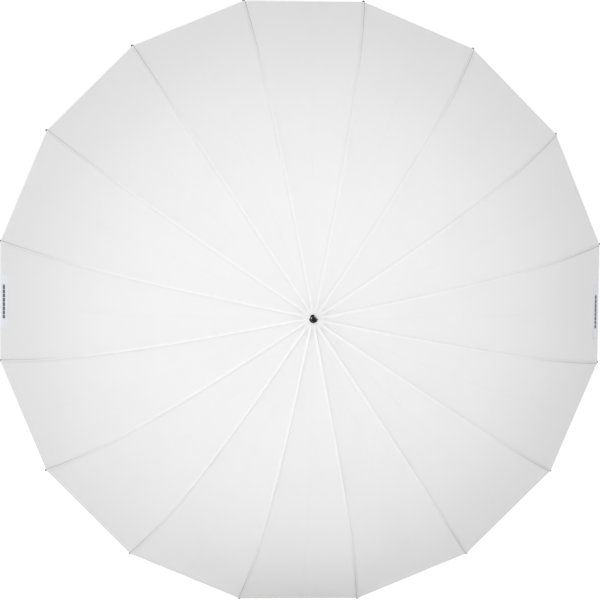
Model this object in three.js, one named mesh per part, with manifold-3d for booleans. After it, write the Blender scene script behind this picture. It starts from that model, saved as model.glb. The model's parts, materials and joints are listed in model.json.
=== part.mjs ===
// A sixteen-rib studio umbrella, open. Millimetres, +Z up. The shaft lies along Y: its tail end is at the
// origin, and the crown of the canopy points along -Y. Every rib works in its own plane through the shaft.
import * as THREE from "three";
import { mergeVertices } from "three/addons/utils/BufferGeometryUtils.js";
import Module from "manifold-3d";

const wasm = await Module();
wasm.setup();

// ---------------------------------------------------------------- driving dimensions
const RIB_COUNT = 16;
const TIP_RADIUS = 650; // shaft axis to the end of an open rib
const CROWN_SLOPE = THREE.MathUtils.degToRad(2); // how far a rib leans back where it leaves the crown
const RIM_SLOPE = THREE.MathUtils.degToRad(63); // and at its tip
const CROWN_TO_TAIL = 880; // rib pivots to the tail end of the shaft
const PIVOT_RADIUS = 14; // rib pivots and stretcher pivots from the shaft axis
const SHAFT_RADIUS = 4;
const SHAFT_WALL = 0.6;
const ROD_RADIUS = 1.5;
const CLIP_AT = 0.45; // where along the rib the stretcher is clipped on
const CLIP_DROP = 4.5; // stretcher pin from the middle of the rod
const CLIP_SETBACK = 7; // stretcher pin from the end of the inner rod
const CLOSED_LEAN = THREE.MathUtils.degToRad(2.5); // from the shaft to the line of a closed rib's pins
const FLEX_GAP = 1; // each rod stops this far from the point it flexes about
const TIP_LENGTH = 9; // rib end left bare by the canopy
const TIP_CAP_RADIUS = 2.8;
const CANOPY_LIFT = 2.9; // inside of the canopy from the middle of a rod
const CANOPY_THICKNESS = 0.5;
const CROWN_LIFT = 2.6; // extra lift of the canopy over the crown
const CROWN_REACH = 60; // along the rib, until that extra lift is gone
const CANOPY_HOLE = 5;
const LABEL_SIZE = [118, 30, 0.5];
const RIGHT_LABEL_SHIFT = -17; // the right label is sewn on below the middle of its gore

const PLATE = 2; // tongues and stretcher bars
const BAR_RADIUS = 1.7; // half the height of a stretcher bar
const TONGUE_RADIUS = 2.2;
const TONGUE_LENGTH = 14;
const ROD_START = 5.5; // rod begins this far from the rib pivot
const SLOT_WIDTH = 2.8;
const CLIP_RADIUS = 1.8;
const CLIP_WIDTH = 4.6;
const FORK_GAP = 2.6;
const WIRE_RADIUS = 0.6;
const EYE_RADIUS = 0.95;
const PIN_RADIUS = 0.75;
const PIN_EYE_RADIUS = 1.05;
const GROOVE_HALF = 0.8; // half the width of the groove that a ring wire lies in

const FLANGE_RADIUS = 17;
const FLANGE_HALF = 4;
const HUB_RADIUS = 10;
const SLOT_FLOOR = 10.5; // radius at which the flange slots end
const NOTCH_HUB_LENGTH = 12;
const FIT = 0.15; // radial gap between fixed pieces
const RUNNER_FIT = 0.3;
const SLEEVE_RADIUS = 7;
const SLEEVE_LENGTH = 52;
const GRIP_RADIUS = 9;
const GRIP_LENGTH = 12;

const RING_FACETS = 32;
const SHAFT_FACETS = 24;
const ROD_FACETS = 6;
const INNER_STEPS = 7;
const OUTER_STEPS = 8;
const EYE_FACETS = 6;

// ---------------------------------------------------------------- the line of an open rib
// A bent rod lies straightest at its two ends, so its slope swings from crown to rim as a smooth step.
const slopeAt = (share) =>
  CROWN_SLOPE + (RIM_SLOPE - CROWN_SLOPE) * THREE.MathUtils.smoothstep(share, 0, 1);

// Sum of the cosine and sine of the slope from the pivot to a share of the rib's length, by midpoints.
function reach(share, steps = 200) {
  let out = 0;
  let back = 0;
  for (let i = 0; i < steps; i++) {
    const slope = slopeAt(((i + 0.5) / steps) * share);
    out += Math.cos(slope);
    back += Math.sin(slope);
  }
  return [(out * share) / steps, (back * share) / steps];
}

const RIB_LENGTH = (TIP_RADIUS - PIVOT_RADIUS) / reach(1)[0];
const CROWN_Y = -CROWN_TO_TAIL;
const TIP_SHARE = 1 - TIP_LENGTH / RIB_LENGTH;

// In a rib's plane x is the distance from the shaft axis and y runs along the shaft.
function ribPoint(share) {
  const [out, back] = reach(share);
  return new THREE.Vector2(PIVOT_RADIUS + RIB_LENGTH * out, CROWN_Y + RIB_LENGTH * back);
}

// A point beside the rib, on its hollow side for a positive drop.
function besideRib(share, drop) {
  const slope = slopeAt(share);
  const side = new THREE.Vector2(-Math.sin(slope), Math.cos(slope));
  return ribPoint(share).addScaledVector(side, drop);
}

const RIB_PIVOT = new THREE.Vector2(PIVOT_RADIUS, CROWN_Y);
const CLIP_SHARE = CLIP_AT - CLIP_SETBACK / RIB_LENGTH;
const CLIP_PIN = besideRib(CLIP_SHARE, CLIP_DROP);
// Rib and stretcher are as long as each other between pins, so the runner sits twice as far back as the pin.
const RUNNER_Y = CROWN_Y + 2 * (CLIP_PIN.y - CROWN_Y);
const PIVOT_TO_PIN = CLIP_PIN.distanceTo(RIB_PIVOT);
const CLOSED_RUNNER_Y = CROWN_Y + 2 * PIVOT_TO_PIN * Math.cos(CLOSED_LEAN);
const STRETCHER_PIVOT = new THREE.Vector2(PIVOT_RADIUS, RUNNER_Y);

class RibLine extends THREE.Curve {
  constructor(from, to) {
    super();
    this.from = from;
    this.to = to;
  }
  getPoint(t, target = new THREE.Vector3()) {
    const p = ribPoint(THREE.MathUtils.lerp(this.from, this.to, t));
    return target.set(p.x, p.y, 0);
  }
}

// ---------------------------------------------------------------- solids
function solidOf(geometry) {
  const bare = geometry.clone();
  bare.deleteAttribute("normal");
  bare.deleteAttribute("uv");
  const merged = mergeVertices(bare, 1e-4);
  return new wasm.Manifold(
    new wasm.Mesh({
      numProp: 3,
      vertProperties: merged.attributes.position.array,
      triVerts: new Uint32Array(merged.index.array),
    }),
  );
}

function geometryOf(solid) {
  const mesh = solid.getMesh();
  const geometry = new THREE.BufferGeometry();
  geometry.setAttribute("position", new THREE.BufferAttribute(new Float32Array(mesh.vertProperties), 3));
  geometry.setIndex(new THREE.BufferAttribute(new Uint32Array(mesh.triVerts), 1));
  geometry.computeVertexNormals();
  return geometry;
}

const circle = (radius, facets) => {
  const corners = Array.from({ length: facets }, (_, i) => (i * 2 * Math.PI) / facets);
  return new THREE.Shape(corners.map((a) => new THREE.Vector2(radius * Math.cos(a), radius * Math.sin(a))));
};

// Extruded across a rib's plane, centred on it.
function plate(shape, width, curveSegments = 2) {
  const geometry = new THREE.ExtrudeGeometry(shape, { depth: width, bevelEnabled: false, curveSegments });
  return geometry.translate(0, 0, -width / 2);
}

// A bar with round ends from one point to another in a rib's plane.
function barShape(from, to, radius) {
  const along = Math.atan2(to.y - from.y, to.x - from.x);
  const shape = new THREE.Shape();
  shape.absarc(to.x, to.y, radius, along - Math.PI / 2, along + Math.PI / 2, false);
  shape.absarc(from.x, from.y, radius, along + Math.PI / 2, along + (3 * Math.PI) / 2, false);
  return shape;
}

function eye(centre, radius) {
  const corners = Array.from({ length: EYE_FACETS }, (_, i) => (-i * 2 * Math.PI) / EYE_FACETS);
  return new THREE.Path(
    corners.map((a) => new THREE.Vector2(centre.x + radius * Math.cos(a), centre.y + radius * Math.sin(a))),
  );
}

const rod = (from, to, steps, radius = ROD_RADIUS) =>
  new THREE.ExtrudeGeometry(circle(radius, ROD_FACETS), {
    steps,
    bevelEnabled: false,
    extrudePath: new RibLine(from, to),
  });

// A turned piece about the shaft axis, from a closed outline of [radius, y] points.
function turned(outline, facets) {
  const points = [...outline, outline[0]].map(([r, y]) => new THREE.Vector2(r, y));
  return new THREE.LatheGeometry(points, facets);
}

const cylinder = (radius, length, facets) => new THREE.CylinderGeometry(radius, radius, length, facets);

// ---------------------------------------------------------------- ribs and stretchers
function ribInner() {
  const inner = rod(ROD_START / RIB_LENGTH, CLIP_AT - FLEX_GAP / RIB_LENGTH, INNER_STEPS);
  const tongue = barShape(RIB_PIVOT, ribPoint(TONGUE_LENGTH / RIB_LENGTH), TONGUE_RADIUS);
  tongue.holes.push(eye(RIB_PIVOT, EYE_RADIUS));
  const root = besideRib(CLIP_SHARE, 0);
  const clip = plate(barShape(root, CLIP_PIN, CLIP_RADIUS), CLIP_WIDTH);
  const beyond = besideRib(CLIP_SHARE, CLIP_DROP + 2 * BAR_RADIUS);
  // The slot is cut up to the rod, so it clears the bar at every angle, down to lying along the rod.
  const fork = plate(barShape(CLIP_PIN, beyond, CLIP_DROP - ROD_RADIUS - FIT), FORK_GAP);
  const pin = cylinder(PIN_RADIUS, CLIP_WIDTH, EYE_FACETS)
    .rotateX(Math.PI / 2)
    .translate(CLIP_PIN.x, CLIP_PIN.y, 0);
  const joined = solidOf(inner).add(solidOf(plate(tongue, PLATE))).add(solidOf(clip));
  return geometryOf(joined.subtract(solidOf(fork)).add(solidOf(pin)));
}

function ribOuter() {
  const outer = rod(CLIP_AT + FLEX_GAP / RIB_LENGTH, TIP_SHARE + 1 / RIB_LENGTH, OUTER_STEPS);
  const tip = rod(TIP_SHARE, 1, 1, TIP_CAP_RADIUS);
  return geometryOf(solidOf(outer).add(solidOf(tip)));
}

function stretcher() {
  const bar = barShape(STRETCHER_PIVOT, CLIP_PIN, BAR_RADIUS);
  bar.holes.push(eye(STRETCHER_PIVOT, EYE_RADIUS), eye(CLIP_PIN, PIN_EYE_RADIUS));
  return plate(bar, PLATE);
}

// ---------------------------------------------------------------- crown and runner
// Cuts a slot for each tongue and the groove that the ring wire drops into from one face of the flange.
function slotted(body, flangeY, openSide) {
  let cut = body;
  const slotLength = FLANGE_RADIUS + 4 - SLOT_FLOOR;
  const slot = new THREE.BoxGeometry(slotLength, 2 * FLANGE_HALF + 2, SLOT_WIDTH);
  slot.translate(SLOT_FLOOR + slotLength / 2, flangeY, 0);
  for (let i = 0; i < RIB_COUNT; i++) {
    cut = cut.subtract(solidOf(slot.clone().rotateY(-spokeAngle(i))));
  }
  const deep = flangeY - openSide * GROOVE_HALF;
  const open = flangeY + openSide * (FLANGE_HALF + 1);
  const [low, high] = [Math.min(deep, open), Math.max(deep, open)];
  const [near, far] = [PIVOT_RADIUS - GROOVE_HALF, PIVOT_RADIUS + GROOVE_HALF];
  const groove = turned([[near, low], [far, low], [far, high], [near, high]], RING_FACETS);
  return cut.subtract(solidOf(groove));
}

const spokeAngle = (i) => ((i + 0.5) * 2 * Math.PI) / RIB_COUNT;

function topNotch() {
  const bore = SHAFT_RADIUS + FIT;
  const low = CROWN_Y - FLANGE_HALF;
  const outline = [
    [bore, low],
    [FLANGE_RADIUS, low],
    [FLANGE_RADIUS, CROWN_Y + FLANGE_HALF],
    [HUB_RADIUS, CROWN_Y + FLANGE_HALF],
    [HUB_RADIUS, CROWN_Y + NOTCH_HUB_LENGTH],
    [bore, CROWN_Y + NOTCH_HUB_LENGTH],
  ];
  return geometryOf(slotted(solidOf(turned(outline, RING_FACETS)), CROWN_Y, 1));
}

function runner() {
  const bore = SHAFT_RADIUS + RUNNER_FIT;
  const end = RUNNER_Y + SLEEVE_LENGTH;
  const outline = [
    [bore, RUNNER_Y - FLANGE_HALF],
    [FLANGE_RADIUS, RUNNER_Y - FLANGE_HALF],
    [FLANGE_RADIUS, RUNNER_Y + FLANGE_HALF],
    [HUB_RADIUS, RUNNER_Y + FLANGE_HALF],
    [SLEEVE_RADIUS, RUNNER_Y + FLANGE_HALF + 8],
    [SLEEVE_RADIUS, end - GRIP_LENGTH - 2],
    [GRIP_RADIUS, end - GRIP_LENGTH],
    [GRIP_RADIUS, end - 2],
    [GRIP_RADIUS - 1, end],
    [bore, end],
  ];
  return geometryOf(slotted(solidOf(turned(outline, RING_FACETS)), RUNNER_Y, -1));
}

const ringWire = (y) =>
  new THREE.TorusGeometry(PIVOT_RADIUS, WIRE_RADIUS, 5, RING_FACETS).rotateX(Math.PI / 2).translate(0, y, 0);

// ---------------------------------------------------------------- shaft and its fittings
const SHAFT_TOP = CROWN_Y - 22;
const PLUG_FLANGE = 2;
const PLUG_SPIGOT = 12;
const CATCH_Y = RUNNER_Y + SLEEVE_LENGTH + 1; // face of the catch that holds the runner
const CATCH_LENGTH = 40;
const CATCH_NOSE = 3; // how far the catch stands out of the tube
const CATCH_WIDTH = 1.2;
const CATCH_BAR = [1.6, 3]; // inner and outer distance of the catch's bar from the axis
const CATCH_NOSE_LENGTH = 3;
const BEAD_RADIUS = 5.2; // beads rolled in the tube that stop the runner at both ends of its travel
const BEAD_LENGTH = 5;
const BEAD_FLANK = 1.5;
const BEAD_GAP = 0.5;
const OPEN_STOP = RUNNER_Y - FLANGE_HALF - BEAD_GAP - BEAD_LENGTH;
const CLOSED_STOP = CLOSED_RUNNER_Y + SLEEVE_LENGTH + BEAD_GAP;

const rolledBead = (start) => [
  [SHAFT_RADIUS, start],
  [BEAD_RADIUS, start + BEAD_FLANK],
  [BEAD_RADIUS, start + BEAD_LENGTH - BEAD_FLANK],
  [SHAFT_RADIUS, start + BEAD_LENGTH],
];

function shaftTube() {
  const inside = SHAFT_RADIUS - SHAFT_WALL;
  const tail = -PLUG_FLANGE - 0.1;
  const outline = [
    [inside, SHAFT_TOP],
    [SHAFT_RADIUS, SHAFT_TOP],
    ...rolledBead(OPEN_STOP),
    ...rolledBead(CLOSED_STOP),
    [SHAFT_RADIUS, tail],
    [inside, tail],
  ];
  const window = new THREE.BoxGeometry(CATCH_WIDTH + 0.8, CATCH_LENGTH, SHAFT_RADIUS);
  window.translate(0, CATCH_Y + CATCH_LENGTH / 2 - 1, SHAFT_RADIUS);
  const tube = turned(outline, SHAFT_FACETS).rotateY(Math.PI / SHAFT_FACETS);
  return geometryOf(solidOf(tube).subtract(solidOf(window)));
}

// A flat strip inside the tube: its foot is the pivot and its nose stands out through the window.
function catchSpring() {
  const [low, high] = CATCH_BAR;
  const nose = SHAFT_RADIUS + CATCH_NOSE;
  const foot = CATCH_Y + CATCH_LENGTH;
  const side = new THREE.Shape([
    new THREE.Vector2(low, CATCH_Y),
    new THREE.Vector2(nose, CATCH_Y),
    new THREE.Vector2(nose, CATCH_Y + CATCH_NOSE_LENGTH),
    new THREE.Vector2(high, CATCH_Y + 0.7 * CATCH_LENGTH),
    new THREE.Vector2(high, foot),
    new THREE.Vector2(low, foot),
  ]);
  return plate(side, CATCH_WIDTH);
}

// Plug with a head outside the tube and a spigot inside it; towards is +1 for the tail end, -1 for the top.
function plug(faceY, headRadius, headLength, towards, rounding) {
  const spigot = SHAFT_RADIUS - SHAFT_WALL - FIT;
  const step = faceY + towards * 0.1;
  const end = faceY + towards * headLength;
  const outline = [
    [0, faceY - towards * PLUG_SPIGOT],
    [spigot, faceY - towards * PLUG_SPIGOT],
    [spigot, step],
    [headRadius, step],
    [headRadius, end - towards * rounding],
    [headRadius - rounding, end],
    [0, end],
  ];
  const points = outline.map(([r, y]) => new THREE.Vector2(r, y));
  return new THREE.LatheGeometry(towards > 0 ? points : points.reverse(), SHAFT_FACETS);
}

const FERRULE_BASE = CROWN_Y - CANOPY_LIFT - CROWN_LIFT - CANOPY_THICKNESS - 1.2;
const FERRULE_RADIUS = 9;
const FERRULE_NECK = 6;
const FERRULE_DOME = 2.2;

// A domed nut that clamps the fabric, with a neck up to the top of the shaft.
function ferrule() {
  const bore = SHAFT_RADIUS + FIT;
  const top = SHAFT_TOP + 0.5;
  const width = FERRULE_RADIUS - FERRULE_NECK;
  const rim = FERRULE_BASE - 2;
  const dome = new THREE.EllipseCurve(FERRULE_NECK, rim, width, FERRULE_DOME, 0, -Math.PI / 2, true);
  const outside = dome.getPoints(4).map((p) => [p.x, p.y]);
  const outline = [
    [bore, top],
    [FERRULE_NECK - 0.6, top],
    [FERRULE_NECK, top + 0.6],
    ...outside.reverse(),
    [FERRULE_RADIUS, FERRULE_BASE],
    [bore, FERRULE_BASE],
  ];
  return turned(outline, RING_FACETS);
}

// ---------------------------------------------------------------- canopy
// A sheet of sixteen gores, drawn taut between neighbouring ribs and held up off the rods.
const evenly = (from, to, steps) =>
  Array.from({ length: steps + 1 }, (_, i) => THREE.MathUtils.lerp(from, to, i / steps));

const CANOPY_SHARES = [
  ...evenly(ROD_START / RIB_LENGTH, CLIP_AT, INNER_STEPS),
  ...evenly(CLIP_AT, TIP_SHARE, OUTER_STEPS).slice(1),
];

// One face of the sheet over a rib, raised by its lift, which grows towards the crown.
function sheetPoint(share, raised) {
  const nearCrown = 1 - THREE.MathUtils.smoothstep(share * RIB_LENGTH, 0, CROWN_REACH);
  return besideRib(share, -CANOPY_LIFT - CROWN_LIFT * nearCrown - raised);
}

function canopy() {
  const crownY = CROWN_Y - CANOPY_LIFT - CROWN_LIFT;
  const face = (raised) => [
    new THREE.Vector2(CANOPY_HOLE, crownY - raised),
    ...CANOPY_SHARES.map((share) => sheetPoint(share, raised)),
  ];
  const outline = [...face(CANOPY_THICKNESS), ...face(0).reverse()].map((p) => [p.x, p.y]);
  return turned(outline, RIB_COUNT).rotateY(Math.PI / RIB_COUNT);
}

// A flat label on the middle of a gore, its long side along the hem.
function label() {
  const [long, high, thick] = LABEL_SIZE;
  const middle = new THREE.Vector2(Math.cos(Math.PI / RIB_COUNT), 1);
  const hem = sheetPoint(TIP_SHARE, CANOPY_THICKNESS).multiply(middle);
  const above = sheetPoint(CANOPY_SHARES.at(-2), CANOPY_THICKNESS).multiply(middle);
  const slope = Math.atan2(hem.y - above.y, hem.x - above.x);
  const box = new THREE.BoxGeometry(high, thick, long);
  return box
    .translate(-high / 2 - 2, -thick / 2 - 0.3, 0)
    .rotateZ(slope)
    .translate(hem.x, hem.y, 0);
}

// ---------------------------------------------------------------- assembly
const paint = (color, roughness, metalness = 0) =>
  new THREE.MeshStandardMaterial({ color, roughness, metalness });

const STEEL = paint(0xb9bcc0, 0.3, 0.9);
const CHROME = paint(0xd8dadd, 0.12, 1);
const BLACK_PLASTIC = paint(0x17181a, 0.45);
const FIBREGLASS = paint(0xe9eae8, 0.45);
const BLACK_STEEL = paint(0x26282b, 0.4, 0.6);
const FABRIC = paint(0xf3f4f4, 0.85);
const LABEL = paint(0xe3e5f2, 0.6);

const umbrella = new THREE.Group();

function addMesh(parent, name, geometry, material) {
  const mesh = new THREE.Mesh(geometry, material);
  mesh.name = name;
  parent.add(mesh);
}

addMesh(umbrella, "shaft_tube", shaftTube(), STEEL);
addMesh(umbrella, "top_notch", topNotch(), BLACK_PLASTIC);
addMesh(umbrella, "notch_wire", ringWire(CROWN_Y), STEEL);
addMesh(umbrella, "ferrule", ferrule(), CHROME);
addMesh(umbrella, "top_cap", plug(SHAFT_TOP, 5, 5, -1, 1.5), BLACK_PLASTIC);
addMesh(umbrella, "tail_plug", plug(-PLUG_FLANGE, SHAFT_RADIUS, PLUG_FLANGE, 1, 0.4), BLACK_PLASTIC);
addMesh(umbrella, "canopy", canopy(), FABRIC);
addMesh(umbrella, "label_right", label().translate(0, 0, RIGHT_LABEL_SHIFT), LABEL);
addMesh(umbrella, "label_left", label().rotateY(Math.PI), LABEL);
addMesh(umbrella, "runner", runner(), BLACK_PLASTIC);
addMesh(umbrella, "runner_wire", ringWire(RUNNER_Y), STEEL);

const topOfShaft = new THREE.Group();
topOfShaft.rotation.y = -Math.PI / 2;
addMesh(topOfShaft, "catch_spring", catchSpring(), STEEL);
umbrella.add(topOfShaft);

const innerRod = ribInner();
const outerRod = ribOuter();
const bar = stretcher();
for (let i = 0; i < RIB_COUNT; i++) {
  const spoke = new THREE.Group();
  spoke.rotation.y = -spokeAngle(i);
  const number = String(i + 1).padStart(2, "0");
  addMesh(spoke, `rib_inner_${number}`, innerRod, FIBREGLASS);
  addMesh(spoke, `rib_outer_${number}`, outerRod, FIBREGLASS);
  addMesh(spoke, `stretcher_${number}`, bar, BLACK_STEEL);
  umbrella.add(spoke);
}

export default umbrella;
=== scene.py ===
# The looks of a sixteen-rib studio umbrella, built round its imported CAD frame. Metres, +Z up, shaft along Y.
import json
import math

import bmesh
import bpy
import numpy as np
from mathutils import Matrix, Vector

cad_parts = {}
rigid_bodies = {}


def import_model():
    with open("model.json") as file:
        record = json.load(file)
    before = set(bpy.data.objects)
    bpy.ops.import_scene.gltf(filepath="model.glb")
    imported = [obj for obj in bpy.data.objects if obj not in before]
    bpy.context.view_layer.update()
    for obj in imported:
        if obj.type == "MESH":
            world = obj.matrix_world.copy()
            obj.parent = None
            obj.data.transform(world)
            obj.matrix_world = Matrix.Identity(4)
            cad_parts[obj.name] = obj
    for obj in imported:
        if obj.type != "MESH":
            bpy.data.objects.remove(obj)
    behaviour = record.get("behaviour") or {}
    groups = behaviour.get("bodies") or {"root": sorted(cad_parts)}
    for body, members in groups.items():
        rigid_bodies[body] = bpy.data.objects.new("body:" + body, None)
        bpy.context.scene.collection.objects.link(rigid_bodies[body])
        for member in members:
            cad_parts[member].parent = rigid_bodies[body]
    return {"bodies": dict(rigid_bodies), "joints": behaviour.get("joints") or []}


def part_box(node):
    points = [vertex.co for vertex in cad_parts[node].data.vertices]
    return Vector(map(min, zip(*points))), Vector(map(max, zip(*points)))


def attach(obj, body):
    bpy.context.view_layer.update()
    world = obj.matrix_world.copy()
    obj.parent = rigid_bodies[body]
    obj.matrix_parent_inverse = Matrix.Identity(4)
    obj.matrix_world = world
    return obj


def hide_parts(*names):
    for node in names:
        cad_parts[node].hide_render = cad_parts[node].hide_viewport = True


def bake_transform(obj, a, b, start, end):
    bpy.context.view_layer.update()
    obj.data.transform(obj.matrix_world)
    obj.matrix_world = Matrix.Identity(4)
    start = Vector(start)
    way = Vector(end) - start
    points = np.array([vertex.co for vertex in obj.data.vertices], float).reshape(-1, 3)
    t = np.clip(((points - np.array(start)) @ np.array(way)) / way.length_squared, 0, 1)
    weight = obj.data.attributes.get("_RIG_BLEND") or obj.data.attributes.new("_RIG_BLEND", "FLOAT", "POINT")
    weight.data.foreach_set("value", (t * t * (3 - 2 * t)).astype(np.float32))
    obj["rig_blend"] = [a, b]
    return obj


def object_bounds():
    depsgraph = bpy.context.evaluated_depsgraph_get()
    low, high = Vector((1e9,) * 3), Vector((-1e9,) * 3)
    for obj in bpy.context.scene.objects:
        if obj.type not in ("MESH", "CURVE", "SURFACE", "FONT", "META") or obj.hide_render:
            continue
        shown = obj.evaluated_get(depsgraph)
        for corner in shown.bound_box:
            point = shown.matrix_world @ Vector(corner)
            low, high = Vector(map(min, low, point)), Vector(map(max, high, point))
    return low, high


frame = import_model()
CAD_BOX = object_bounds()

# ------------------------------------------------------------------ driving sizes
MM = 0.001
RIBS = 16
HALF_PITCH = math.pi / RIBS
CROWN_SLOPE = math.radians(2)
RIM_SLOPE = math.radians(63)
TIP_RADIUS = 650 * MM
ROD_RADIUS = 1.5 * MM
ROD_START = 5.5 * MM
TIP_LENGTH = 9 * MM
SHEET_LIFT = 3.15 * MM  # middle of the fabric from the middle of a rod
CROWN_LIFT = 2.6 * MM
CROWN_REACH = 60 * MM
SHEET_START = 6 * MM  # radius of the fabric's edge, under the ferrule
SAG = 5 * MM  # how far the fabric draws in between two ribs
HEM_WIDTH = 9 * MM
SEAM_WIDTH = 4 * MM
CROWN_PATCH = 8 * MM  # from the pivots, the reach of the doubled fabric round the crown
THIN, THICK = 0.35 * MM, 0.8 * MM  # one layer of fabric, and a folded seam or hem
BAR_RADIUS = 1.7 * MM
PLATE_HALF = 1 * MM  # half the thickness of tongues and stretcher bars
EYE_RADIUS, PIN_EYE_RADIUS = 0.95 * MM, 1 * MM
WIRE_RADIUS, PIN_RADIUS = 0.6 * MM, 0.75 * MM
CLIP_SETBACK = 7 * MM  # middle of the clip, short of the bend
SHAFT_RADIUS, SHAFT_BORE = 4 * MM, 3.4 * MM
FLEX_REACH = 32 * MM  # length of rod that straightens as the canopy closes
LABEL_LENGTH, LABEL_HEIGHT = 118 * MM, 30 * MM
LABEL_EDGE = 3 * MM  # from the hem to the label
RIGHT_LABEL_SHIFT = -17 * MM
WRAP_RISE = 6.2 * MM  # how much the wrapped fabric climbs per radian
SPAN_LIFT, SPAN_REACH = 24 * MM, 70 * MM  # how far the wrapped fabric stands off where the closed ribs bend
RANDOM = np.random.default_rng(16)

JOINTS = {joint["name"]: joint for joint in frame["joints"]}


def in_plane(joint_name):
    """A joint's distance from the shaft and its place along it."""
    x, y, z = JOINTS[joint_name]["pos_m"]
    return math.hypot(x, z), y


PIVOT = in_plane("canopy_fold")
PIN = in_plane("stretcher_pin_01")
RUNNER_PIVOT = in_plane("runner_pin")
FOLD = math.radians(JOINTS["canopy_fold"]["range_deg"][1])
FLEX_SHARE = math.radians(JOINTS["rib_flex_01"]["range_deg"][0]) / FOLD
REACH = math.dist(PIVOT, PIN)
OPEN_ANGLE = math.atan2(PIN[0] - PIVOT[0], PIN[1] - PIVOT[1])
RUNNER_TRAVEL = 2 * REACH * (math.cos(OPEN_ANGLE - FOLD) - math.cos(OPEN_ANGLE))


# ------------------------------------------------------------------ the line of an open rib
def smooth(x, low=0.0, high=1.0):
    t = np.clip((np.asarray(x, float) - low) / (high - low), 0, 1)
    return t * t * (3 - 2 * t)


LINE_STEPS = 2000
line_share = np.linspace(0, 1, LINE_STEPS + 1)
line_slope = CROWN_SLOPE + (RIM_SLOPE - CROWN_SLOPE) * smooth(line_share)
step_slope = (line_slope[1:] + line_slope[:-1]) / 2
line_out = np.append(0, np.cumsum(np.cos(step_slope))) / LINE_STEPS
line_back = np.append(0, np.cumsum(np.sin(step_slope))) / LINE_STEPS
RIB_LENGTH = (TIP_RADIUS - PIVOT[0]) / line_out[-1]
HEM_AT = RIB_LENGTH - TIP_LENGTH
FLEX_AT = 0.45 * RIB_LENGTH


def rib_line(along):
    """Radius, place along the shaft and slope of a rib at distances from its pivot.

    It runs on straight inwards.
    """
    share = np.asarray(along, float) / RIB_LENGTH
    inwards = np.minimum(share, 0)
    radius = PIVOT[0] + RIB_LENGTH * (np.interp(share, line_share, line_out) + inwards)
    place = PIVOT[1] + RIB_LENGTH * np.interp(share, line_share, line_back)
    return radius, place, np.interp(share, line_share, line_slope)


def rib_path(along):
    radius, place, _ = rib_line(along)
    return np.stack([radius, place], axis=1)


def beside_rib(along, drop):
    radius, place, slope = rib_line(along)
    return radius - np.sin(slope) * drop, place + np.cos(slope) * drop


# ------------------------------------------------------------------ meshes
def spoke_angle(index):
    return (index + 0.5) * 2 * math.pi / RIBS


def turn_to_spoke(points, index):
    """From a rib's own plane (radius, along the shaft, sideways) to the frame."""
    angle = spoke_angle(index)
    radius, place, side = np.asarray(points, float).T
    x = radius * math.cos(angle) - side * math.sin(angle)
    z = radius * math.sin(angle) + side * math.cos(angle)
    return np.stack([x, place, z], axis=1)


def new_object(name, data):
    made = bpy.data.objects.new(name, data)
    bpy.context.scene.collection.objects.link(made)
    return made


def new_mesh(name, points, faces):
    mesh = bpy.data.meshes.new(name)
    mesh.from_pydata([tuple(p) for p in points], [], [tuple(f) for f in faces])
    return mesh


def new_piece(name, points, faces, material, smooth_angle=35):
    mesh = new_mesh(name, points, faces)
    mesh.validate()
    shade(mesh, smooth_angle)
    piece = new_object(name, mesh)
    piece.data.materials.append(material)
    return piece


def number(index):
    return f"{index + 1:02d}"


def spoke_piece(kind, index, shape, material, smooth_angle=35):
    """A piece that is drawn in a rib's own plane, turned to its spoke."""
    points, faces = shape
    name = f"{kind}_{number(index)}"
    return new_piece(name, turn_to_spoke(points, index), faces, material, smooth_angle)


def shade(mesh, smooth_angle):
    work = bmesh.new()
    work.from_mesh(mesh)
    bmesh.ops.recalc_face_normals(work, faces=work.faces)
    work.to_mesh(mesh)
    work.free()
    smooth_faces(mesh)
    mesh.set_sharp_from_angle(angle=math.radians(smooth_angle))


def smooth_faces(mesh):
    mesh.polygons.foreach_set("use_smooth", [True] * len(mesh.polygons))


def joined(*parts):
    """Several (points, faces) as one."""
    points, faces, offset = [], [], 0
    for part_points, part_faces in parts:
        points += [tuple(p) for p in part_points]
        faces += [tuple(v + offset for v in face) for face in part_faces]
        offset += len(part_points)
    return np.array(points), faces


def tube_faces(rings, sides):
    faces = []
    for r in range(rings - 1):
        for s in range(sides):
            n = (s + 1) % sides
            faces.append((r * sides + s, r * sides + n, (r + 1) * sides + n, (r + 1) * sides + s))
    faces.append(tuple(range(sides))[::-1])
    faces.append(tuple((rings - 1) * sides + s for s in range(sides)))
    return faces


def swept(path, radii, sides=12):
    """A rod of changing radius along a path of (radius, along the shaft) points in a rib's plane."""
    path = np.asarray(path, float)
    direction = np.gradient(path, axis=0)
    direction /= np.linalg.norm(direction, axis=1)[:, None]
    turns = np.linspace(0, 2 * math.pi, sides, endpoint=False)
    points = []
    for (x, y), (dx, dy), r in zip(path, direction, np.broadcast_to(radii, len(path))):
        for turn in turns:
            points.append((x - dy * r * math.cos(turn), y + dx * r * math.cos(turn), r * math.sin(turn)))
    return np.array(points), tube_faces(len(path), sides)


def turned(outline, segments=64):
    """A closed outline of (radius, along the shaft) points turned about the shaft."""
    turns = np.linspace(0, 2 * math.pi, segments, endpoint=False)
    points = [(r * math.cos(t), y, r * math.sin(t)) for r, y in outline for t in turns]
    rings = len(outline)
    faces = []
    for r in range(rings):
        for s in range(segments):
            n, q = (s + 1) % segments, (r + 1) % rings
            faces.append((r * segments + s, r * segments + n, q * segments + n, q * segments + s))
    return np.array(points), faces


def across_rod(centre, radius, half_length, soft, sides=16):
    """A pin across a rib's plane, with its ends rounded off by a soft edge."""
    x, y = centre
    turns = np.linspace(0, 2 * math.pi, sides, endpoint=False)
    rings = [
        (-half_length, radius - soft),
        (-half_length + soft, radius),
        (half_length - soft, radius),
        (half_length, radius - soft),
    ]
    points = [(x + r * math.cos(t), y + r * math.sin(t), z) for z, r in rings for t in turns]
    return np.array(points), tube_faces(len(rings), sides)


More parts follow.
